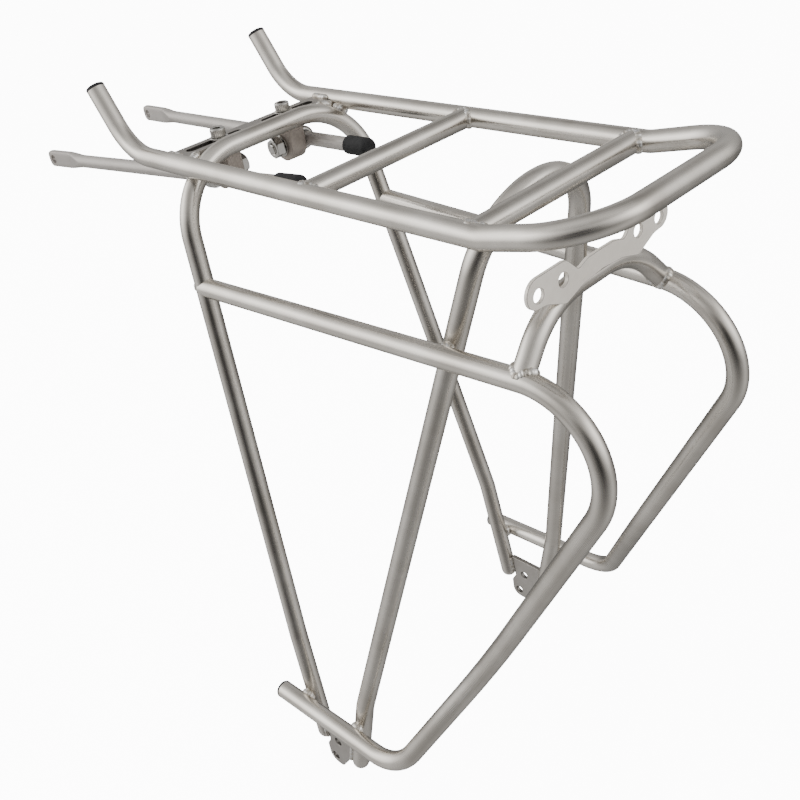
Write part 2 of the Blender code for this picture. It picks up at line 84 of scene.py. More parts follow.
# Plates
LIGHT_PLATE_Y, LIGHT_PLATE_T = -17.75, 1.7
LIGHT_HOLE_X, LIGHT_HOLE_Z, LIGHT_HOLE_R = (25.0, 40.0), -26.9, 3.0
LIGHT_EDGE = (
    (0.0, -24.2, 0.0), (9.0, -24.4, 8.0), (15.3, -26.6, 2.5), (22.5, -19.3, 6.0),
    (46.9, -19.3, 6.8), (46.9, -31.8, 6.2), (36.0, -32.6, 10.0), (24.5, -37.6, 4.0),
    (13.0, -33.9, 12.0), (0.0, -32.9, 0.0),
)
SLOT_PLATE_Y, SLOT_PLATE_T, SLOT_PLATE_X = (196.3, 209.7), 3.0, 48.0
SLOT_Y, SLOT_W, SLOT_X = 202.6, 5.6, (7.0, 41.8)
DROPOUT_X, DROPOUT_T = 85.0, 3.0
EYELETS, EYELET_R = ((135.4, -350.0), (129.4, -334.3)), 2.7
DROPOUT_EDGE = (
    (114.9, -322.5, 0.8), (138.8, -322.5, 0.8), (137.2, -337.5, 3.0), (140.9, -343.2, 3.0),
    (140.9, -355.6, 5.8), (130.4, -355.6, 4.8), (120.9, -342.5, 2.0),
)

# Stay clamps
SCREW_X, EYE_Z = 21.5, -15.5
SCREW_HEAD_R, SCREW_HEAD_H, SCREW_R, SCREW_END = 4.0, 4.4, 2.5, -10.6
SOCKET_MOUTH, SOCKET_ACROSS, SOCKET_DEPTH = 4.5, 4.0, 2.3
KNURLS, KNURL_DEPTH = 30, 0.035
WASHER_R, WASHER_BORE, WASHER_T = 5.0, 2.7, 0.8
BLOCK_X, BLOCK_R, BLOCK_TOP = 5.0, 9.0, -5.7
POCKET_R, TAPPED_R, TAPPED_END = 6.2, 2.8, -10.9
BOSS_R, BOSS_TOP = 5.4, -1.8
EYE_X, EYE_R, EYE_T, EYE_BORE = 9.05, 6.5, 5.0, 4.15
BOLT_R, BOLT_START, BOLT_END, THREAD_START = 3.0, 2.9, -12.4, -5.0
NUT_ACROSS, NUT_T, NUT_BORE = 10.0, 5.0, 3.05
BOLT_WASHER_R, BOLT_WASHER_BORE, BOLT_WASHER_T = 6.0, 3.3, 1.2
GAP = 0.3
SEAT = 0.12  # how close a washer is drawn to what it lies on

# Stays. For each side: its sign, the angles out and down, and how far forward the tip is.
SIDES = (
    ("left", -1, math.radians(3.1), math.radians(3.4), 169.5),
    ("right", 1, math.radians(2.6), math.radians(2.2), 180.8),
)
STAY_LENGTH, STAY_R = 237.8, 3.85
PADDLE_L, PADDLE_TAPER, PADDLE_T, PADDLE_H = 24.0, 16.0, 4.0, 10.4
PADDLE_HOLE_R, PADDLE_HOLE_END, PADDLE_NOSE = 2.7, 6.2, 4.2
CAP_R, CAP_L, CAP_END, CAP_DOME = 5.0, 17.5, 2.0, 2.6

# Welds
HEAT = []  # places in metres that the beads heated, filled in as they are laid
HEAT_CORE, HEAT_REACH = 0.001, 0.0105  # metres of full tint, and how far it fades
BEAD_R = 2.3  # a fat round bead sunk into the corner, so that a low fillet shows
SINK = -0.28  # share of the bead's radius that its centre lies inside the tubes
FLUSH = 1.1  # how far a bead sinks where there is no groove
RIPPLE, SWAY = 0.055, 0.04  # shares of the bead's radius
PITCH, BEAD_STEP = 0.0012, 0.00022  # metres from ripple to ripple, and from ring to ring
BEAD_SIDES = 12
START_BEAD_R, START_SINK = 1.3, -0.9  # where each pannier rail starts: a small deep bead
CROWN_BEAD_R, SLOTTED_BEAD_R, GUSSET_BEAD_R = 1.5, 1.7, 2.3
DROPOUT_BEAD_R, LIGHT_BEAD_R = 1.2, 1.1

GRAIN = 0.035  # the noise of the drawing streaks runs this much slower along a piece
TUBE_STEP = math.radians(4.0)  # turn between rings in a bend
EDGE_STEP = math.radians(5.0)  # turn between points of a rounded corner
RUN = 0.004  # metres between rings on a straight

# Studio, in metres and degrees
CAMERA_PLACE, CAMERA_TURN = (-0.29995, -0.38232, 0.50134), (62.4761, 8.8972, -44.7488)
CAMERA_LENS, CAMERA_SENSOR, CAMERA_SHIFT = 46.589, 36.0, (-0.0022, -0.1076)
BACKDROP, FLOOR_GLOW, FLOOR_HALF = 12.0, 11.0, 6.0
LAMP_PLACE, LAMP_AIM, LAMP_SIZE, LAMP_WATTS = (-0.3, 0.3, 1.8), (0.0, 0.0, 0.2), 1.4, 20.0
# Brightness of the mirrored room by height, from straight down to straight up
ROOM = (
    (0.0, 0.44), (0.175, 0.80), (0.38, 0.78), (0.53, 2.2), (0.72, 3.3), (0.86, 1.1), (1.0, 0.80)
)
DARK_SIDE = Vector((-0.77, -0.62, 0.02)).normalized()  # the dark part of the room
DARK_FROM, DARK_TO, DARK_LEVEL = math.radians(76), math.radians(8), 0.02
SHADE_SIDE = Vector((-0.88, -0.47, 0.0)).normalized()  # away from here the room is in shade
SHADE_SPAN, SHADE_LEVEL = (-0.85, 0.20), 0.18
WHITE = (1.0, 1.0, 1.0)


def at(x, y, z):
    return (Vector((x, y, z)) - DATUM) * MM


# ---------------------------------------------------------------- materials


class Nodes:
    """Adds nodes to a tree. Inputs go by name or number: an output is linked, a value set."""

    def __init__(self, tree):
        self.tree = tree

    def fill(self, node, inputs):
        for key, value in inputs.items():
            socket = node.inputs[key]
            if isinstance(value, bpy.types.NodeSocket):
                self.tree.links.new(value, socket)
            else:
                socket.default_value = (*value, 1.0) if socket.type == "RGBA" else value

    def add(self, kind, inputs, output=0, **settings):
        node = self.tree.nodes.new(kind)
        for key, value in settings.items():
            setattr(node, key, value)
        self.fill(node, inputs)
        return node.outputs[output] if node.outputs else None

    def surface(self, inputs):
        self.fill(self.tree.nodes["Principled BSDF"], inputs)

    def places(self):
        return self.add("ShaderNodeTexCoord", {}, "Object")

    def attribute(self, name, output="Fac"):
        return self.add("ShaderNodeAttribute", {}, output, attribute_name=name)

    def noise(self, vector, scale, detail=4.0, rough=0.55):
        inputs = {"Vector": vector, "Scale": scale, "Detail": detail, "Roughness": rough}
        return self.add("ShaderNodeTexNoise", inputs, "Fac")

    def ramp(self, value, stops):
        colour = self.add("ShaderNodeValToRGB", {"Fac": value}, "Color")
        elements = colour.node.color_ramp.elements
        while len(elements) < len(stops):
            elements.new(0.5)
        for element, (place, tint) in zip(elements, stops):
            element.position = place
            element.color = (*tint, 1.0)
        return colour

    def span(self, value, low, high, from_low=0.3, from_high=0.7, **settings):
        inputs = dict(enumerate((value, from_low, from_high, low, high)))
        return self.add("ShaderNodeMapRange", inputs, **settings)

    def mix(self, factor, first, second):
        return self.add("ShaderNodeMix", {0: factor, 6: first, 7: second}, 2, data_type="RGBA")

    def maths(self, operation, first, second):
        return self.add("ShaderNodeMath", {0: first, 1: second}, operation=operation)

    def bump(self, height, distance, strength, **under):
        inputs = {"Height": height, "Distance": distance, "Strength": strength, **under}
        return self.add("ShaderNodeBump", inputs)

    def toward(self, sight, side):
        """Cosine of the angle between the line of sight and a side of the room."""
        inputs = {0: sight, 1: tuple(side)}
        return self.add("ShaderNodeVectorMath", inputs, "Value", operation="DOT_PRODUCT")

    def chosen(self, ray, otherwise, shader):
        """A shader for one kind of ray and another for the rest."""
        factor = self.add("ShaderNodeLightPath", {}, ray)
        return self.add("ShaderNodeMixShader", {0: factor, 1: otherwise, 2: shader})


def new_material(name):
    material = bpy.data.materials.new(name)
    material.use_nodes = True
    return material, Nodes(material.node_tree)


# near-black mixed in as painted shade on the sheets' hole walls, and as a darker rim on their
# bevels
CUT_EDGE_SHADE = (0.030, 0.027, 0.025)
HEAT_TINTS = (
    (0.10, (0.62, 0.58, 0.52)), (0.34, (0.56, 0.49, 0.39)),
    (0.60, (0.38, 0.32, 0.28)), (0.90, (0.70, 0.69, 0.68)),
)
WELD_TINTS = (
    (0.34, (0.40, 0.36, 0.32)), (0.46, (0.68, 0.64, 0.57)),
    (0.54, (0.84, 0.83, 0.81)), (0.70, (0.94, 0.94, 0.94)),
)


def satin_metal(name, dark, light, roughness, streaks, heat=False, pits=1.8e-6, metallic=1.0):
    """Satin metal: cloudy colour, and if asked streaks along the piece and a tint near welds."""
    material, n = new_material(name)
    place = n.places()
    grain = n.attribute("grain", "Vector") if streaks else place
    cloud = n.noise(place, 38.0, 5.0)
    fine = n.noise(grain, 900.0 if streaks else 700.0, 3.0, 0.6)
    wide = n.noise(grain, 210.0, 4.0, 0.5)
    colour = n.ramp(cloud, ((0.32, dark), (0.68, light)))
    colour = n.mix(n.span(wide, 0.0, 0.16), colour, tuple(c * 0.8 for c in dark))
    rough = n.maths("ADD", cloud, fine)
    rough = n.span(rough, roughness - 0.05, roughness + 0.07, 0.75, 1.25)
    # painted shade: near-black on hole walls, and a darker rim on bevels, wherever the cut
    # attribute says
    colour = n.mix(n.attribute("cut"), colour, CUT_EDGE_SHADE)
    if heat:
        patches = n.span(n.noise(place, 260.0, 4.0), 0.35, 1.25)
        warmth = n.maths("MULTIPLY", n.attribute("heat"), patches)
        tint = n.ramp(warmth, HEAT_TINTS)
        colour = n.mix(n.span(warmth, 0.0, 0.85, 0.06, 0.5), colour, tint)
        rough = n.maths("ADD", rough, n.span(warmth, 0.0, 0.08, 0.2, 0.8))
    normal = n.bump(fine, pits, 0.7, Normal=n.bump(wide, pits * 1.5, 0.6))
    n.surface({"Base Color": colour, "Roughness": rough, "Metallic": metallic, "Normal": normal})
    return material


def weld_metal(name):
    """Bright weld metal with the ripples in its mesh, brown in random patches."""
    material, n = new_material(name)
    place = n.places()
    patch = n.noise(place, 420.0, 5.0, 0.6)
    n.surface({
        "Base Color": n.ramp(patch, WELD_TINTS), "Roughness": n.span(patch, 0.42, 0.24),
        "Metallic": 1.0, "Normal": n.bump(n.noise(place, 1500.0, 3.0), 0.00012, 0.8),
    })
    return material


def dull(name, dark, light, roughness, scale, grain, metallic=0.0):
    """Blasted, anodised, rubber or moulded surface: speckled colour and a fine even grain."""
    material, n = new_material(name)
    place = n.places()
    cloud = n.noise(place, scale * 0.1, 4.0)
    speck = n.noise(place, scale, 3.0, 0.65)
    mean = n.maths("MULTIPLY", n.maths("ADD", cloud, speck), 0.5)
    n.surface({
        "Base Color": n.ramp(mean, ((0.36, dark), (0.64, light))),
        "Roughness": n.span(speck, roughness - 0.06, roughness + 0.08),
        "Metallic": metallic, "Specular IOR Level": 0.22, "Normal": n.bump(speck, grain, 0.8),
    })
    return material


STEEL = satin_metal(
    "satin_tube", (0.60, 0.565, 0.515), (0.79, 0.76, 0.71), 0.26, True, heat=True
)
# Painted light: the light plate's steel is given a brighter, warmer colour than the tubes' steel,
# standing for the light that falls on it.
LIT_PLATE = satin_metal(
    "satin_sheet_painted_light", (0.91, 0.85, 0.76), (0.98, 0.93, 0.85), 0.42, False, metallic=0.45
)
DROPOUT = satin_metal("satin_dropout", (0.40, 0.38, 0.355), (0.50, 0.48, 0.455), 0.42, False)
ALLOY = satin_metal(
    "satin_alloy", (0.44, 0.415, 0.39), (0.52, 0.495, 0.47), 0.47, True, pits=3e-6, metallic=0.75
)
BOLT = satin_metal("bright_steel", (0.44, 0.43, 0.41), (0.58, 0.57, 0.55), 0.14, False)
WELD = weld_metal("weld_metal")
BLOCK = dull(
    "blasted_block", (0.30, 0.265, 0.235), (0.42, 0.375, 0.335), 0.55, 1800.0, 5e-5, metallic=0.7
)
RUBBER = dull("black_rubber", (0.010, 0.010, 0.011), (0.026, 0.026, 0.027), 0.62, 1500.0, 6e-5)
PLASTIC = dull("black_plastic", (0.012, 0.012, 0.013), (0.022, 0.022, 0.023), 0.42, 1200.0, 2e-5)


# ---------------------------------------------------------------- shapes


def rounded(before, corner, after, radius, step):
    """Points of the arc that rounds a corner between the directions to its neighbours."""
    turn = math.pi - before.angle(after)
    centre = corner + (before + after).normalized() * radius / math.cos(turn / 2)
    start = corner + before * radius * math.tan(turn / 2) - centre
    end = corner + after * radius * math.tan(turn / 2) - centre
    count = max(2, math.ceil(turn / step))
    points = []
    for i in range(count + 1):
        share = turn * i / count
        spoke = start * math.sin(turn - share) + end * math.sin(share)
        points.append(centre + spoke / math.sin(turn))
    return points


def bent(corners, radii):
    """The centreline through these corners, rounded, with points along the runs."""
    path = [corners[0].copy()]
    for before, corner, after, radius in zip(corners, corners[1:], corners[2:], radii):
        back, ahead = (before - corner).normalized(), (after - corner).normalized()
        path += rounded(back, corner, ahead, radius, TUBE_STEP)
    path.append(corners[-1].copy())
    filled = [path[0]]
    for first, second in zip(path, path[1:]):
        pieces = max(1, round((second - first).length / RUN))
        filled += [first.lerp(second, (i + 1) / pieces) for i in range(pieces)]
    return filled


def mirrored(points):
    """The left side's mirror image of the points, then the points themselves in reverse."""
    return [Vector((-p.x, p.y, p.z)) for p in points] + [p.copy() for p in reversed(points)]


def carried(path):
    """For each point of the path its direction and two directions across, without twist."""
    along = []
    for i in range(len(path)):
        before, after = path[max(0, i - 1)], path[min(len(path) - 1, i + 1)]
        along.append((after - before).normalized())
    across = along[0].orthogonal().normalized()
    frames = []
    for i, direction in enumerate(along):
        across = (across - direction * across.dot(direction)).normalized()
        frames.append((direction, across, direction.cross(across)))
    return frames


def linked(name, data):
    obj = bpy.data.objects.new(name, data)
    bpy.context.scene.collection.objects.link(obj)
    return obj


def evaluated(obj, *helpers):
    """The object's final mesh. The object and its helpers are removed."""
    bpy.context.view_layer.update()
    graph = bpy.context.evaluated_depsgraph_get()
    mesh = bpy.data.meshes.new_from_object(obj.evaluated_get(graph))
    for used in (*helpers, obj):
        bpy.data.objects.remove(used, do_unlink=True)
    return mesh


def finished(name, mesh, material, body, node=None, angle=40.0):
    """Put a mesh in the scene as a piece that rides on a body and stands for a CAD node."""
    obj = linked(name, mesh)
    mesh.shade_smooth()
    mesh.set_sharp_from_angle(angle=math.radians(angle))
    mesh.materials.clear()
    mesh.materials.append(material)
    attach(obj, body)
    if node:
        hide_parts(node)


def grid_mesh(name, rings, closed_path=False, shift=0):
    """A mesh from rings of points, each ring joined to the next, capped unless it closes.

    The last ring of a closed path meets the first turned by shift points.
    """
    count, last = len(rings[0]), len(rings) - 1
    faces = []
    for i in range(len(rings) if closed_path else last):
        a, b = i * count, (i + 1) % len(rings) * count
        turn = shift if i == last else 0
        for j in range(count):
            k = (j + 1) % count
            faces.append((a + (j + turn) % count, a + (k + turn) % count, b + k, b + j))
    if not closed_path:
        faces.append(tuple(range(count))[::-1])
        faces.append(tuple(range(last * count, len(rings) * count)))
    mesh = bpy.data.meshes.new(name)
    mesh.from_pydata([tuple(p) for ring in rings for p in ring], [], faces)
    mesh.update()
    return mesh


def outward(mesh, merge=0.0):
    """Turn the faces outward, after joining the points that lie this close together."""
    bm = bmesh.new()
    bm.from_mesh(mesh)
    if merge:
        bmesh.ops.remove_doubles(bm, verts=bm.verts, dist=merge)
    bmesh.ops.recalc_face_normals(bm, faces=bm.faces)
    bm.to_mesh(mesh)
    bm.free()
    return mesh


def sweep(name, path, domed):
    """The tube along a path, with its grain stored on its points. Domed ends close in."""
    radius = TUBE_R * MM
    stations = [(p, radius) for p in path]
    for tip, inner in ((path[0], path[1]), (path[-1], path[-2])) if domed else ():
        inward = (inner - tip).normalized()
        kept = [s for s in stations if (s[0] - tip).length > radius]
        dome = []
        for i in range(11):
            angle = math.radians(88.0) * (1 - i / 10)
            place = tip + inward * radius * (1 - math.sin(angle))
            dome.append((place, radius * math.cos(angle)))
        stations = dome + kept if tip == path[0] else kept + dome[::-1]
    frames = carried([p for p, _ in stations])
    rings, grain = [], []
    travelled = 0.0
    for i, ((place, r), (_, u, v)) in enumerate(zip(stations, frames)):
        if i:
            travelled += (place - stations[i - 1][0]).length
        ring = []
        for j in range(TUBE_SIDES):
            turn = 2 * math.pi * j / TUBE_SIDES
            ring.append(place + (u * math.cos(turn) + v * math.sin(turn)) * r)
            grain += [math.cos(turn) * r, math.sin(turn) * r, travelled * GRAIN]
        rings.append(ring)
    mesh = outward(grid_mesh(name, rings))
    mesh.attributes.new("grain", "FLOAT_VECTOR", "POINT").data.foreach_set("vector", grain)
    return mesh


def add_heat(mesh):
    """Write each point's closeness to the nearest weld, from 0 to 1."""
    points = np.empty(len(mesh.vertices) * 3)
    mesh.vertices.foreach_get("co", points)
    points = points.reshape(-1, 3)
    nearest = np.full(len(points), 1.0)
    for place in HEAT:
        nearest = np.minimum(nearest, np.linalg.norm(points - place, axis=1))
    heat = np.exp(-((np.maximum(nearest - HEAT_CORE, 0.0) / HEAT_REACH) ** 2))
    mesh.attributes.new("heat", "FLOAT", "POINT").data.foreach_set("value", heat)


def turned(name, profile, sides=64, shape=None, hollow=False):
    """A turned shape about z from (radius, height) pairs; hollow closes the profile on itself.

    shape(index, turn, radius, height) may give a point another radius and height.
    """
    rings = []
    for index, (radius, height) in enumerate(profile):
        ring = []
        for j in range(sides):
            turn = 2 * math.pi * j / sides
            r, h = shape(index, turn, radius, height) if shape else (radius, height)
            ring.append(Vector((r * math.cos(turn), r * math.sin(turn), h)) * MM)
        rings.append(ring)
    return outward(grid_mesh(name, rings, closed_path=hollow))


def rounded_outline(edge):
    """Points of the outline through (x, y, radius) corners."""
    points = []
    for i, (x, y, radius) in enumerate(edge):
        corner = Vector((x, y, 0.0))
        before = (Vector((*edge[i - 1][:2], 0.0)) - corner).normalized()
        after = (Vector((*edge[(i + 1) % len(edge)][:2], 0.0)) - corner).normalized()
        if radius <= 0.0 or math.pi - before.angle(after) < 1e-4:
            points.append((x, y))
        else:
            points += [(p.x, p.y) for p in rounded(before, corner, after, radius, EDGE_STEP)]
    return points


def circle(x, y, radius):
    turns = [i * (2 * math.pi / 40) for i in range(40)]
    return [(x + radius * math.cos(turn), y + radius * math.sin(turn)) for turn in turns]


def slot_outline(x0, x1, y, width):
    radius = width / 2
    points = []
    for centre, first in ((x1 - radius, -90.0), (x0 + radius, 90.0)):
        for i in range(19):
            angle = math.radians(first + 10.0 * i)
            points.append((centre + radius * math.cos(angle), y + radius * math.sin(angle)))
    return points


def thinned(outline):
    """The outline without points where two arcs overlap: a bevel grows a spike at such a turn."""
    kept = list(outline)
    i = 0
    while i < len(kept):
        (ax, ay), (bx, by), (cx, cy) = kept[i - 1], kept[i], kept[(i + 1) % len(kept)]
        ahead = (bx - ax) * (cx - bx) + (by - ay) * (cy - by)
        nearest = min(math.hypot(bx - ax, by - ay), math.hypot(cx - bx, cy - by))
        if ahead <= 0 and nearest < 0.8:
            kept.pop(i)
            i = max(0, i - 1)
        else:
            i += 1
    return kept


def sheet_mesh(name, outlines, thickness, edge, matrix, wall_shade=0.0, rim=0.0):
    """Sheet cut to the first outline with the others as holes, its edges broken by a bevel.

    The attribute "cut" darkens a face: painted shade on the holes' walls, and a darker rim on the
    bevels.
    """
    curve = bpy.data.curves.new(name, "CURVE")
    curve.dimensions = "2D"
    curve.fill_mode = "BOTH"
    curve.extrude = (thickness / 2 - edge) * MM
    curve.bevel_depth = edge * MM
    curve.offset = -edge * MM
    curve.bevel_resolution = 2
    for outline in map(thinned, outlines):
        spline = curve.splines.new("POLY")
        spline.points.add(len(outline) - 1)
        spline.use_cyclic_u = True
        for point, (x, y) in zip(spline.points, outline):
            point.co = (x * MM, y * MM, 0.0, 1.0)
    mesh = outward(evaluated(linked(name + "_curve", curve)), merge=1e-6)
    boxes = []
    for outline in outlines[1:]:
        xs, ys = [x * MM for x, _ in outline], [y * MM for _, y in outline]
        wide = edge * MM
        boxes.append((min(xs) - wide, max(xs) + wide, min(ys) - wide, max(ys) + wide))
    cut = mesh.attributes.new("cut", "FLOAT", "FACE")
    for face, value in zip(mesh.polygons, cut.data):
        x, y, _ = face.center
        in_hole = any(a <= x <= b and c <= y <= d for a, b, c, d in boxes)
        tilt = abs(face.normal.z)
        # painted shade on the holes' walls
        if in_hole and tilt < 0.5:
            value.value = wall_shade
        else:
            value.value = rim if 0.1 < tilt < 0.97 else 0.0
    mesh.transform(matrix)
    return mesh


def combined(mesh, others, operation):
    """The mesh with other meshes cut from it or joined to it."""
    name = mesh.name
    body = linked("body", mesh)
    helpers = []
    for i, other in enumerate(others):
        helpers.append(linked(f"helper_{i}", other))
        modifier = body.modifiers.new(f"cut_{i}", "BOOLEAN")
        modifier.operation = operation
        modifier.solver = "EXACT"
        modifier.object = helpers[-1]
    made = evaluated(body, *helpers)
    made.name = name
    return made


def cylinder_mesh(name, radius, start, end, sides=48):
    """A closed cylinder between two points in millimetres."""
    start, end = Vector(start) * MM, Vector(end) * MM
    frames = carried([start, end])
    rings = []
    for place, (_, u, v) in zip((start, end), frames):
        turns = [2 * math.pi * j / sides for j in range(sides)]
        rings.append([place + (u * math.cos(t) + v * math.sin(t)) * radius * MM for t in turns])
    return outward(grid_mesh(name, rings))


# ---------------------------------------------------------------- welds


def bead(name, path, radius=BEAD_R, closed=False, seed=0.0):
    """A rippled weld bead along a path in metres. It notes the places that it heated."""
    radius = radius * MM
    course = path + [path[0]] if closed else path
    steps = [0.0]
    for a, b in zip(course, course[1:]):
        steps.append(steps[-1] + (b - a).length)
    length = steps[-1]
    count = max(24, int(length / BEAD_STEP))
    line, travelled = [], []
    for i in range(count if closed else count + 1):
        target = length * i / count
        k = max(0, int(np.searchsorted(steps, target, side="right")) - 1)
        k = min(k, len(course) - 2)
        share = (target - steps[k]) / max(1e-12, steps[k + 1] - steps[k])
        line.append(course[k].lerp(course[k + 1], min(1.0, share)))
        travelled.append(target)
    dirs = []
    for i in range(len(line)):
        before = line[i - 1] if closed or i else line[0]
        after = line[(i + 1) % len(line)] if closed else line[min(len(line) - 1, i + 1)]
        dirs.append((after - before).normalized())
    across = dirs[0].orthogonal().normalized()
    rings = []
    laps = max(1, round(length / PITCH)) if closed else length / PITCH
    for place, direction, s in zip(line, dirs, travelled):
        across = (across - direction * across.dot(direction)).normalized()
        up = direction.cross(across)
        phase = s / length * laps
        wave = 1 - abs(2 * (phase % 1.0) - 1) ** 1.6
        sway = math.sin(phase * 2.39 + seed * 1.7) * 0.5 + math.sin(phase * 0.83 + seed) * 0.5
        r = radius * (1 - RIPPLE + 2 * RIPPLE * wave + SWAY * sway)
        if not closed:
            to_end = min(s, length - s)
            r *= math.sqrt(min(1.0, max(0.02, to_end / radius)))
        turns = [2 * math.pi * j / BEAD_SIDES for j in range(BEAD_SIDES)]
        rings.append([place + (across * math.cos(t) + up * math.sin(t)) * r for t in turns])
    if closed:
        # the frame carried round comes back turned: shift the last ring onto the first
        gaps = [(place - rings[0][0]).length for place in rings[-1]]
        mesh = grid_mesh(name, rings, True, gaps.index(min(gaps)))
    else:
        mesh = grid_mesh(name, rings)
    HEAT.extend(np.array(place) for place in line[:: max(1, len(line) // 14)])
    finished(name, outward(mesh), WELD, "frame", angle=70.0)


def axis_gap(point, origin, direction):
    """Distance of a point from a line."""
    rel = point - origin
    return (rel - direction * rel.dot(direction)).length


def butt_ring(main, branch, sink=SINK):
    """Centre line of the fillet where the branch's end meets the main tube.

    Each tube's axis is a pair of a place and a direction, here and in the next two functions.
    """
    (main_at, main_dir), (branch_at, branch_dir) = main, branch
    reach = (TUBE_R + BEAD_R * sink) * MM
    inner = reach * 0.985  # a little less than the main tube's, so that the whole ring meets it
    u = main_dir.cross(branch_dir).normalized()
    v = branch_dir.cross(u).normalized()
    ring = []
    for i in range(72):
        turn = 2 * math.pi * i / 72
        start = branch_at + (u * math.cos(turn) + v * math.sin(turn)) * inner
        low, high = -0.004, 0.030
        for _ in range(40):
            middle = (low + high) / 2
            if axis_gap(start + branch_dir * middle, main_at, main_dir) < reach:
                low = middle
            else:
                high = middle
        ring.append(start + branch_dir * (low + high) / 2)
    return settled(ring, main, branch)


def touch_ring(first, second):
    """Centre line of the fillet round the place where two crossing tubes touch."""
    (a, da), (b, db) = first, second
    # nearest points of the two axes
    rel = b - a
    dot = da.dot(db)
    ta = (rel.dot(da) - rel.dot(db) * dot) / (1 - dot * dot)
    tb = (rel.dot(da) * dot - rel.dot(db)) / (1 - dot * dot)
    near_a, near_b = a + da * ta, b + db * tb
    apart = (near_b - near_a).length
    normal = (near_b - near_a).normalized()
    centre = (near_a + near_b) / 2
    ball = max((TUBE_R + BEAD_R * SINK) * MM, apart / 2 + 0.22 * MM)
    side = normal.cross(da).normalized()

    def heights(rho, sin_a, sin_b):
        """The two tubes' surfaces along the normal, this far from the touching point."""
        return (
            -apart / 2 + math.sqrt(max(0.0, ball**2 - (rho * sin_a) ** 2)),
            apart / 2 - math.sqrt(max(0.0, ball**2 - (rho * sin_b) ** 2)),
        )

    ring = []
    for i in range(64):
        turn = 2 * math.pi * i / 64
        t = da * math.cos(turn) + side * math.sin(turn)
        sin_a = (t - da * t.dot(da)).length
        sin_b = (t - db * t.dot(db)).length
        low, high = 0.0, 0.0048
        for _ in range(40):
            rho = (low + high) / 2
            over, under = heights(rho, sin_a, sin_b)
            if over > under:
                low = rho
            else:
                high = rho
        rho = (low + high) / 2
        ring.append(centre + t * rho + normal * sum(heights(rho, sin_a, sin_b)) / 2)
    return settled(ring, first, second)


def settled(ring, first, second):
    """Sink the bead where the two tubes' surfaces run into each other with no groove between."""
    lowered = []
    for place in ring:
        normals = []
        for origin, direction in (first, second):
            rel = place - origin
            normals.append((rel - direction * rel.dot(direction)).normalized())
        groove = min(1.0, 1 - normals[0].dot(normals[1]))
        middle = (normals[0] + normals[1]).normalized()
        lowered.append(place - middle * (1 - groove) * FLUSH * MM)
    return lowered


def line_of(first, second):
    """Origin and direction of the tube axis through two points in millimetres."""
    start, end = at(*first), at(*second)
    return start, (end - start).normalized()


def flipped(point, side):
    return (side * point[0], point[1], point[2])


def nearest_pair(path, other):
    """Where two paths come nearest: place and direction on each."""
    a = np.array([tuple(p) for p in path])
    b = np.array([tuple(p) for p in other])
    gaps = np.linalg.norm(a[:, None] - b[None], axis=2)
    gaps[0, :] = gaps[-1, :] = 1.0
    gaps[:, 0] = gaps[:, -1] = 1.0
    i, j = np.unravel_index(gaps.argmin(), gaps.shape)
    return (
        (path[i], (path[i + 1] - path[i - 1]).normalized()),
        (other[j], (other[j + 1] - other[j - 1]).normalized()),
    )


# ---------------------------------------------------------------- centrelines

PLATFORM = bent(
    mirrored([
        at(RAIL_X, *HORN_TIP), at(RAIL_X, HORN_BEND_Y, 0), at(RAIL_X, KINK_Y, 0),
        at(RAIL_X, *LOOP_END),
    ]),
    [r * MM for r in (HORN_BEND_R, KINK_R, LOOP_R, LOOP_R, KINK_R, HORN_BEND_R)],
)


def hoop_path(foot, knee, arch, arch_r):
    corners = mirrored([at(*foot), at(*knee), at(*arch)])
    return bent(corners, [r * MM for r in (KNEE_R, arch_r, arch_r, KNEE_R)])


FRONT_HOOP = hoop_path(FRONT_FOOT, FRONT_KNEE, FRONT_ARCH, FRONT_ARCH_R)
REAR_HOOP = hoop_path(REAR_FOOT, REAR_KNEE, REAR_ARCH, REAR_ARCH_R)
PANNIER_PATHS = {
    side: bent([at(*flipped(p, side)) for p in PANNIER], [r * MM for r in PANNIER_R])
    for side in (-1, 1)
}
BRIDGE = bent(mirrored([at(*BRIDGE_END), at(*BRIDGE_TOP)]), [BRIDGE_R * MM, BRIDGE_R * MM])


def half(path, side):
    """The path's points on this side of the middle."""
    return [p for p in path if p.x * side > 0.004]


def around(name, first, second, seed):
    """A bead round the place where two paths come nearest."""
    bead(name, touch_ring(*nearest_pair(first, second)), closed=True, seed=seed)


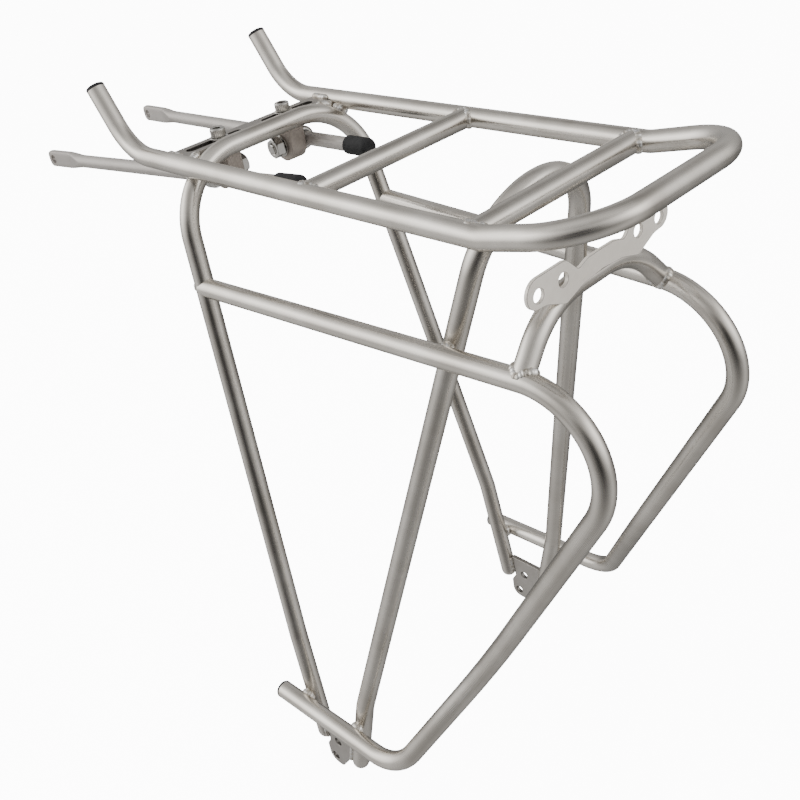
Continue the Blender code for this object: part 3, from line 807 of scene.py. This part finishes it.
def lay_welds():
    for word, side, *_ in SIDES:
        rail = line_of((side * RAIL_X, 0, 0), (side * RAIL_X, 150, 0))
        for name, y in (("mid", MID_BAR_Y), ("rear", 0.0)):
            ring = butt_ring(rail, (at(side * RAIL_X, y, 0), Vector((-side, 0, 0))))
            bead(f"{word}_{name}_bar_weld", ring, closed=True, seed=y + side)
        # each joint's stretch of tube is picked by its place in metres, in the part's frame
        pannier = half(PANNIER_PATHS[side], side)
        front, rear = half(FRONT_HOOP, side), half(REAR_HOOP, side)
        top = [p for p in half(PLATFORM, side) if 0.02 < p.y < 0.09]
        around(f"{word}_front_hoop_weld", top, front, 3 + side)
        upper, rear_upper = ([p for p in path if p.z > 0.2] for path in (pannier, rear))
        around(f"{word}_rear_leg_weld", upper, rear_upper, 5 + side)
        lower = [p for p in pannier if p.z < 0.07 and p.y > -0.05]
        around(f"{word}_rear_foot_weld", lower, [p for p in rear if p.z < 0.1], 7 + side)
        around(f"{word}_front_foot_weld", lower, [p for p in front if p.z < 0.1], 9 + side)
        leg = line_of(flipped(FRONT_ARCH, side), flipped(FRONT_KNEE, side))
        start = line_of(flipped(PANNIER[0], side), flipped(PANNIER[1], side))
        ring = butt_ring(leg, start, START_SINK)
        bead(f"{word}_pannier_start_weld", ring, START_BEAD_R, closed=True, seed=11 + side)
        end = line_of(flipped(BRIDGE_END, side), flipped(BRIDGE_TOP, side))
        bead(f"{word}_bridge_weld", butt_ring(start, end), closed=True, seed=13 + side)
        slotted_plate_welds(word, side)
        dropout_welds(word, side)
    for word, side, *_ in SIDES:
        crown_weld(word, side)
    light_plate_weld()


def crown_weld(word, side):
    """The rear hoop lies along the rear crossbar: a bead in the groove on each side."""
    path = [at(side * (2.0 + 0.62 * i), 5.2, -1.9) for i in range(19)]
    bead(f"{word}_crown_weld", path, CROWN_BEAD_R, seed=17 + side)


def slotted_plate_welds(word, side):
    """Beads along the plate's end, above and below, and where its rear edge nears the hoop."""
    near, far = SLOT_PLATE_Y
    x = side * (SLOT_PLATE_X + 0.35)
    for name, height in (("upper", 1), ("lower", -1)):
        z = height * (SLOT_PLATE_T / 2 + 0.35)
        path = [at(x, near + 0.5 + (far - near - 1.0) * i / 20, z) for i in range(21)]
        bead(f"{word}_{name}_slotted_weld", path, SLOTTED_BEAD_R, seed=19 + side + height)
    path = [at(side * (39.0 + 0.42 * i), near - 0.5 - 0.11 * i, 0.6 - 0.09 * i) for i in range(24)]
    bead(f"{word}_gusset_weld", path, GUSSET_BEAD_R, seed=27 + side)


def dropout_welds(word, side):
    """Beads down the plate's two edges, in the groove between the plate and each foot."""
    for name, knee, foot, edge, top, bottom in (
        ("front", FRONT_KNEE, FRONT_FOOT, 1, -323.5, -336.0),
        ("rear", REAR_KNEE, REAR_FOOT, -1, -323.5, -341.5),
    ):
        for face, where in ((1, "out"), (-1, "in")):
            path = []
            x = side * (DROPOUT_X + face * (DROPOUT_T / 2 + 0.2))
            for i in range(21):
                z = top + (bottom - top) * i / 20
                share = (z - knee[2]) / (foot[2] - knee[2])
                y = knee[1] + (foot[1] - knee[1]) * share
                path.append(at(x, y - edge * (TUBE_R - 0.15), z))
            bead(f"{word}_{name}_dropout_weld_{where}", path, DROPOUT_BEAD_R, seed=face + side)


def light_plate_weld():
    """One bead where the plate's lower edge lies on the bridge."""
    path = [at(x, -16.6, -33.4) for x in np.linspace(-16.0, 16.0, 33)]
    bead("light_plate_weld", path, LIGHT_BEAD_R, seed=23)


# ---------------------------------------------------------------- pieces


def make_tubes():
    pieces = [
        ("platform_tube", PLATFORM, False, "top_rail"),
        ("front_hoop_tube", FRONT_HOOP, True, "front_hoop"),
        ("rear_hoop_tube", REAR_HOOP, True, "rear_hoop"),
        ("left_pannier_tube", PANNIER_PATHS[-1], False, "left_pannier_rail"),
        ("right_pannier_tube", PANNIER_PATHS[1], False, "right_pannier_rail"),
        ("bridge_tube", BRIDGE, False, "light_bridge"),
    ]
    for name, y in (("mid_crossbar", MID_BAR_Y), ("rear_crossbar", 0.0)):
        path = bent([at(-RAIL_X, y, 0), at(RAIL_X, y, 0)], [])
        pieces.append((name + "_tube", path, False, name))
    for name, path, domed, node in pieces:
        mesh = sweep(name, path, domed)
        add_heat(mesh)
        finished(name, mesh, STEEL, "frame", node)


STAND = Matrix(((0, 0, 1), (1, 0, 0), (0, 1, 0))).to_4x4()  # a sheet's x and y become y and z


def make_plates():
    # The last numbers given to sheet_mesh are the painted shade on hole walls and, for the light
    # sheet, the darker rim on its bevels.
    left = [(-x, z, r) for x, z, r in reversed(LIGHT_EDGE[1:-1])]
    outlines = [rounded_outline(list(LIGHT_EDGE) + left)]
    for x in LIGHT_HOLE_X:
        outlines += [circle(side * x, LIGHT_HOLE_Z, LIGHT_HOLE_R) for side in (-1, 1)]
    upright = Matrix.Translation(at(0, LIGHT_PLATE_Y, 0))
    upright @= Matrix.Rotation(math.radians(90), 4, "X")
    mesh = sheet_mesh("light_sheet", outlines, LIGHT_PLATE_T, 0.25, upright, 0.15, 0.55)
    finished("light_sheet", mesh, LIT_PLATE, "frame", "light_plate", angle=14.0)
    near, far = SLOT_PLATE_Y
    x = SLOT_PLATE_X
    outlines = [[(x, near), (x, far), (-x, far), (-x, near)]]
    for side in (-1, 1):
        outlines.append(slot_outline(*sorted(side * x for x in SLOT_X), SLOT_Y, SLOT_W))
    level = Matrix.Translation(at(0, 0, 0))
    mesh = sheet_mesh("slotted_sheet", outlines, SLOT_PLATE_T, 0.25, level, 0.8)
    finished("slotted_sheet", mesh, DROPOUT, "frame", "slotted_plate", angle=14.0)
    for word, side, *_ in SIDES:
        outlines = [rounded_outline(DROPOUT_EDGE)]
        outlines += [circle(y, z, EYELET_R) for y, z in EYELETS]
        place = Matrix.Translation(at(side * DROPOUT_X, 0, 0)) @ STAND
        name, node = word + "_dropout_sheet", word + "_dropout_plate"
        mesh = sheet_mesh(name, outlines, DROPOUT_T, 0.3, place, 0.5)
        finished(name, mesh, DROPOUT, "frame", node, angle=14.0)


def make_plugs():
    """The plugs in the tubes' open ends. Heights count from the end of the tube."""
    profile = (
        (0.3, 2.15), (2.6, 2.10), (4.2, 1.90), (4.8, 1.6), (5.05, 1.15), (5.05, 0.15),
        (4.3, 0.05), (4.3, -5.0), (0.3, -5.0),
    )
    for word, side, *_ in SIDES:
        horn = (at(side * RAIL_X, *HORN_TIP), at(side * RAIL_X, HORN_BEND_Y, 0))
        rail = PANNIER_PATHS[side]
        for kind, tip, inner in (("horn", *horn), ("foot", rail[-1], rail[-2])):
            mesh = turned(f"{word}_{kind}_cap", profile)
            turn = Vector((0, 0, 1)).rotation_difference(tip - inner).to_matrix().to_4x4()
            mesh.transform(Matrix.Translation(tip) @ turn)
            name, node = f"{word}_{kind}_end_plug", f"{word}_{kind}_plug"
            finished(name, mesh, PLASTIC, "frame", node)


def hexagon(turn, across):
    """Radius of a hexagon of this width across its flats, at an angle."""
    return across / 2 / math.cos((turn % (math.pi / 3)) - math.pi / 6)


def screw_mesh(name):
    """Socket head cap screw: knurled side, chamfered rim, hexagon socket."""
    seat = SLOT_PLATE_T / 2 + GAP + WASHER_T + GAP
    top = seat + SCREW_HEAD_H
    r, shank = SCREW_HEAD_R, SCREW_R
    knurled = [(r - 0.05, seat + 0.3), (r, seat + 0.8), (r, top - 0.9)]
    socket = [(SOCKET_MOUTH, top), (SOCKET_ACROSS, top - 0.25), (SOCKET_ACROSS, top - SOCKET_DEPTH)]
    rim = [(r - 0.08, top - 0.55), (r - 0.3, top - 0.18), (r - 0.6, top)]
    profile = [(shank, SCREW_END), (shank, seat), (r - 0.35, seat), *knurled, *rim, *socket]
    profile.append((0.2, top - SOCKET_DEPTH - 0.6))

    def shape(index, turn, radius, height):
        if profile[index] in knurled:
            radius *= 1 - KNURL_DEPTH * (0.5 + 0.5 * math.cos(turn * KNURLS))
        if profile[index] in socket:
            radius = hexagon(turn, radius)
        return radius, height

    return turned(name, profile, 180, shape)


def nut_mesh(name, low):
    """Chamfered hexagon nut along z, from this height up."""
    high = low + NUT_T
    flat = NUT_ACROSS / 2
    profile = [
        (NUT_BORE, low + 0.5), (3.5, low), (flat * 0.97, low), (0, low),
        (0, high), (flat * 0.97, high), (3.5, high), (NUT_BORE, high - 0.5),
    ]

    def shape(index, turn, radius, height):
        if radius:
            return radius, height
        corner = hexagon(turn, NUT_ACROSS)
        drop = max(0.0, corner - flat * 0.985) * 0.58 + 0.06
        return corner - 0.02, height + drop if height == low else height - drop

    return turned(name, profile, 96, shape, hollow=True)


def thread_profile(start, end, radius):
    """Turned ridges that stand for the thread's turns, from one height down to another."""
    pitch, depth = 1.0, 0.42
    count = int((start - end) / pitch)
    profile = []
    for i in range(count):
        height = start - i * pitch
        profile += [(radius - depth, height), (radius, height - pitch * 0.5)]
    profile.append((radius - depth, start - count * pitch))
    return profile


def washer_mesh(name, bore, radius, low, high, edge):
    """Flat washer along z with its outer edges broken."""
    return turned(name, (
        (bore, low), (radius - edge, low), (radius, low + edge),
        (radius, high - edge), (radius - edge, high), (bore, high),
    ), hollow=True)


def make_clamps():
    for word, side, turned_out, tipped_down, reach in SIDES:
        swivel = Matrix.Translation(at(side * SCREW_X, SLOT_Y, 0))
        swivel @= Matrix.Rotation(-side * turned_out, 4, "Z")
        tilt = swivel @ Matrix.Translation(Vector((0, 0, EYE_Z)) * MM)
        tilt @= Matrix.Rotation(-tipped_down, 4, "X")
        mesh = screw_mesh(word + "_cap_screw")
        low = SLOT_PLATE_T / 2 + SEAT
        disc = washer_mesh(
            word + "_screw_washer", WASHER_BORE, WASHER_R, low, low + WASHER_T + 0.15, 0.15
        )
        for name, shape, node, angle in (
            ("_cap_screw", mesh, "_clamp_screw", 32.0),
            ("_screw_disc", disc, "_clamp_screw_washer", 40.0),
        ):
            shape.transform(swivel)
            body = word + "_screw_set"
            finished(word + name, shape, BOLT, body, word + node, angle=angle)
        make_block(word, side, swivel)
        make_eye_set(word, side, tilt)
        make_rod(word, side, reach, tilt)


def make_block(word, side, swivel):
    arc = [math.radians(180.0 + 180.0 * i / 48) for i in range(49)]
    outline = [(BLOCK_R, BLOCK_TOP), (-BLOCK_R, BLOCK_TOP)]
    outline += [(BLOCK_R * math.cos(a), EYE_Z + BLOCK_R * math.sin(a)) for a in arc]
    mesh = sheet_mesh(word + "_block_shape", [outline], 2 * BLOCK_X, 0.7, STAND)
    boss = turned("boss", (
        (0.5, EYE_Z / 2), (BOSS_R, EYE_Z / 2), (BOSS_R, BOSS_TOP - 0.5),
        (BOSS_R - 0.5, BOSS_TOP), (0.5, BOSS_TOP),
    ))
    mesh = combined(mesh, [boss], "UNION")
    pocket_in = side * (EYE_X - EYE_R - 0.35)
    holes = [
        cylinder_mesh("hole", BOLT_R + GAP, (-9, 0, EYE_Z), (9, 0, EYE_Z)),
        cylinder_mesh("pocket", POCKET_R, (pocket_in, 0, EYE_Z), (side * 9, 0, EYE_Z), 64),
        cylinder_mesh("tapped", TAPPED_R, (0, 0, TAPPED_END), (0, 0, 5)),
    ]
    mesh = combined(mesh, holes, "DIFFERENCE")
    mesh.transform(swivel)
    body, node = word + "_block", word + "_clamp_block"
    finished(word + "_block", mesh, BLOCK, body, node, angle=30.0)


def make_eye_set(word, side, tilt):
    """The eye bolt, its eye on the block's outer side, with its washer and nut on the inner."""
    half_t = EYE_T / 2
    r, bore = EYE_R, EYE_BORE
    ring = turned(word + "_eye", (
        (bore, -half_t + 0.35), (bore + 0.35, -half_t), (r - 1.0, -half_t),
        (r - 0.4, -half_t + 0.25), (r, -half_t + 0.9), (r, half_t - 0.9),
        (r - 0.4, half_t - 0.25), (r - 1.0, half_t), (bore + 0.35, half_t),
        (bore, half_t - 0.35),
    ), 72, hollow=True)
    quarter = math.radians(90)
    ring.transform(
        Matrix.Translation(Vector((side * EYE_X, 0, 0)) * MM) @ Matrix.Rotation(quarter, 4, "X")
    )
    shank = [(0.3, BOLT_START), (BOLT_R, BOLT_START)]
    shank += thread_profile(THREAD_START, BOLT_END + 0.8, BOLT_R)
    shank += [(BOLT_R - 0.5, BOLT_END + 0.3), (BOLT_R - 0.9, BOLT_END), (0.3, BOLT_END)]
    rod = turned(word + "_shank", shank, 48)
    rod.transform(Matrix.Rotation(side * quarter, 4, "Y"))
    mesh = combined(ring, [rod], "UNION")
    mesh.transform(tilt)
    body = word + "_eye_set"
    finished(word + "_eye", mesh, BOLT, body, word + "_eye_bolt", angle=32.0)
    low = BLOCK_X + SEAT
    high = low + BOLT_WASHER_T + 0.1
    washer = washer_mesh(word + "_flat_washer", BOLT_WASHER_BORE, BOLT_WASHER_R, low, high, 0.2)
    nut = nut_mesh(word + "_nut", high + 0.15)
    inner_face = tilt @ Matrix.Rotation(-side * quarter, 4, "Y")
    for mesh, node, name in (
        (washer, "_eye_washer", "_flat_washer"), (nut, "_eye_nut", "_hexagon_nut")
    ):
        mesh.transform(inner_face)
        finished(word + name, mesh, BOLT, body, word + node, angle=28.0)


def flattened(from_tip):
    """The rod's half thickness, its half height and how flat it is, this far from the tip."""
    share = min(1.0, max(0.0, (PADDLE_L + PADDLE_TAPER - from_tip) / PADDLE_TAPER))
    share = share * share * (3 - 2 * share)
    across = STAY_R + (PADDLE_T / 2 - STAY_R) * share
    tall = STAY_R + (PADDLE_H / 2 - STAY_R) * share
    if from_tip < PADDLE_NOSE:
        rest = 1 - from_tip / PADDLE_NOSE
        tall *= 1 - 0.6 * (1 - math.sqrt(max(0.0, 1 - rest**2)))
        across *= 1 - 0.25 * rest**3
    return across, tall, share


def make_rod(word, side, reach, tilt):
    """The stay along y through the eye, flattened at its tip, with a rubber cap on its rear."""
    centre = side * EYE_X
    rear = reach - STAY_LENGTH
    paddle_from = reach - PADDLE_L
    straights = int((STAY_LENGTH - PADDLE_L - PADDLE_TAPER) / 6.0) + 1
    stations = {rear + i * 6.0 for i in range(straights)}
    stations |= {paddle_from - PADDLE_TAPER * (1 - i / 20) for i in range(21)}
    flats = int((PADDLE_L - PADDLE_NOSE) / 2.0)
    stations |= {paddle_from + 2.0 * i for i in range(1, flats + 1)}
    stations |= {reach - PADDLE_NOSE * (1 - math.sin(math.radians(a))) for a in range(0, 88, 6)}
    sides = 48
    rings, grain = [], []
    for s in sorted(stations):
        across, tall, share = flattened(reach - s)
        ring = []
        for j in range(sides):
            angle = 2 * math.pi * j / sides
            x = STAY_R * math.cos(angle) * (1 + 0.35 * share)
            soft = 1 - 0.25 * share * abs(math.sin(angle)) ** 6
            x, z = max(-across, min(across, x)) * soft, tall * math.sin(angle)
            ring.append(Vector((centre + x, s, z)) * MM)
            grain += [x * MM, z * MM, s * MM * GRAIN]
        rings.append(ring)
    mesh = outward(grid_mesh(word + "_rod", rings))
    mesh.attributes.new("grain", "FLOAT_VECTOR", "POINT").data.foreach_set("vector", grain)
    y = reach - PADDLE_HOLE_END
    hole = cylinder_mesh("hole", PADDLE_HOLE_R, (centre - 9, y, 0), (centre + 9, y, 0), 40)
    mesh = combined(mesh, [hole], "DIFFERENCE")
    mesh.transform(tilt)
    body = word + "_stay_set"
    finished(word + "_rod", mesh, ALLOY, body, word + "_stay", angle=35.0)
    cap, mouth = [(0.3, -CAP_END)], CAP_L - CAP_END
    for i in range(9):
        turn = math.radians(90.0 * i / 8)
        radius = CAP_R - CAP_DOME * (1 - math.sin(turn))
        cap.append((radius, -CAP_END + CAP_DOME * (1 - math.cos(turn))))
    cap += [
        (CAP_R, mouth - 1.5), (CAP_R, mouth - 0.4), (CAP_R - 0.3, mouth),
        (STAY_R + 0.15, mouth), (STAY_R + 0.1, 0.0), (0.3, 0.0),
    ]
    mesh = turned(word + "_cap_shape", cap)
    lie = Matrix.Translation(Vector((centre, rear, 0)) * MM)
    mesh.transform(tilt @ lie @ Matrix.Rotation(math.radians(-90), 4, "X"))
    finished(word + "_rubber_cap", mesh, RUBBER, body, word + "_stay_cap")


# ---------------------------------------------------------------- studio

def make_world():
    """White to look at, and for reflections a soft box overhead, a grey room and a dark patch."""
    world = bpy.data.worlds.new("studio")
    bpy.context.scene.world = world
    world.use_nodes = True
    n = Nodes(world.node_tree)
    n.tree.nodes.clear()
    sight = n.add("ShaderNodeTexCoord", {}, "Generated")
    height = n.span(n.add("ShaderNodeSeparateXYZ", {0: sight}, "Z"), 0.0, 1.0, -1.0, 1.0)
    room = n.ramp(height, [(place, (v, v * 0.985, v * 0.965)) for place, v in ROOM])
    dark = n.toward(sight, DARK_SIDE)
    dark = n.span(dark, 1.0, DARK_LEVEL, math.cos(DARK_FROM), math.cos(DARK_TO))
    shade = n.toward(sight, SHADE_SIDE)
    shade = n.span(shade, SHADE_LEVEL, 1.0, *SHADE_SPAN, interpolation_type="SMOOTHSTEP")
    both = n.maths("MULTIPLY", dark, shade)
    room = n.add("ShaderNodeVectorMath", {0: room, "Scale": both}, operation="SCALE")
    soft, mirrored_room, backdrop = (
        n.add("ShaderNodeBackground", {0: colour, 1: strength})
        for colour, strength in ((WHITE, 1.0), (room, 1.0), (WHITE, BACKDROP))
    )
    shader = n.chosen("Is Glossy Ray", soft, mirrored_room)
    shader = n.chosen("Is Camera Ray", shader, backdrop)
    n.add("ShaderNodeOutputWorld", {0: shader})


def make_floor():
    """A pale floor that looks as white as the backdrop and isn't mirrored in the metal."""
    mesh = bpy.data.meshes.new("floor")
    h = FLOOR_HALF
    mesh.from_pydata([(-h, -h, 0), (h, -h, 0), (h, h, 0), (-h, h, 0)], [], [(0, 1, 2, 3)])
    floor = linked("floor", mesh)
    floor.location.z = CAD_BOX[0][2] - 0.0005
    material, n = new_material("pale_floor")
    n.tree.nodes.clear()
    paper = n.add("ShaderNodeBsdfDiffuse", {0: (0.95, 0.95, 0.95)})
    glow = n.add("ShaderNodeEmission", {0: WHITE, 1: FLOOR_GLOW})
    shader = n.chosen("Is Camera Ray", paper, n.add("ShaderNodeAddShader", {0: paper, 1: glow}))
    shader = n.chosen("Is Glossy Ray", shader, n.add("ShaderNodeBsdfTransparent", {}))
    n.add("ShaderNodeOutputMaterial", {0: shader})
    mesh.materials.append(material)


def make_camera():
    camera = linked("camera", bpy.data.cameras.new("camera"))
    camera.location = CAMERA_PLACE
    camera.rotation_euler = [math.radians(a) for a in CAMERA_TURN]
    camera.data.lens = CAMERA_LENS
    camera.data.sensor_width = CAMERA_SENSOR
    camera.data.shift_x, camera.data.shift_y = CAMERA_SHIFT
    camera.data.clip_start = 0.01
    bpy.context.scene.camera = camera


def make_lamp():
    light = bpy.data.lights.new("top_light", "AREA")
    light.shape = "RECTANGLE"
    light.size = light.size_y = LAMP_SIZE
    light.energy = LAMP_WATTS
    obj = linked("top_light", light)
    obj.location = LAMP_PLACE
    obj.rotation_euler = (Vector(LAMP_AIM) - obj.location).to_track_quat("-Z", "Y").to_euler()
    obj.visible_glossy = False


lay_welds()
make_tubes()
make_plates()
make_plugs()
make_clamps()
make_camera()
make_floor()
make_world()
make_lamp()
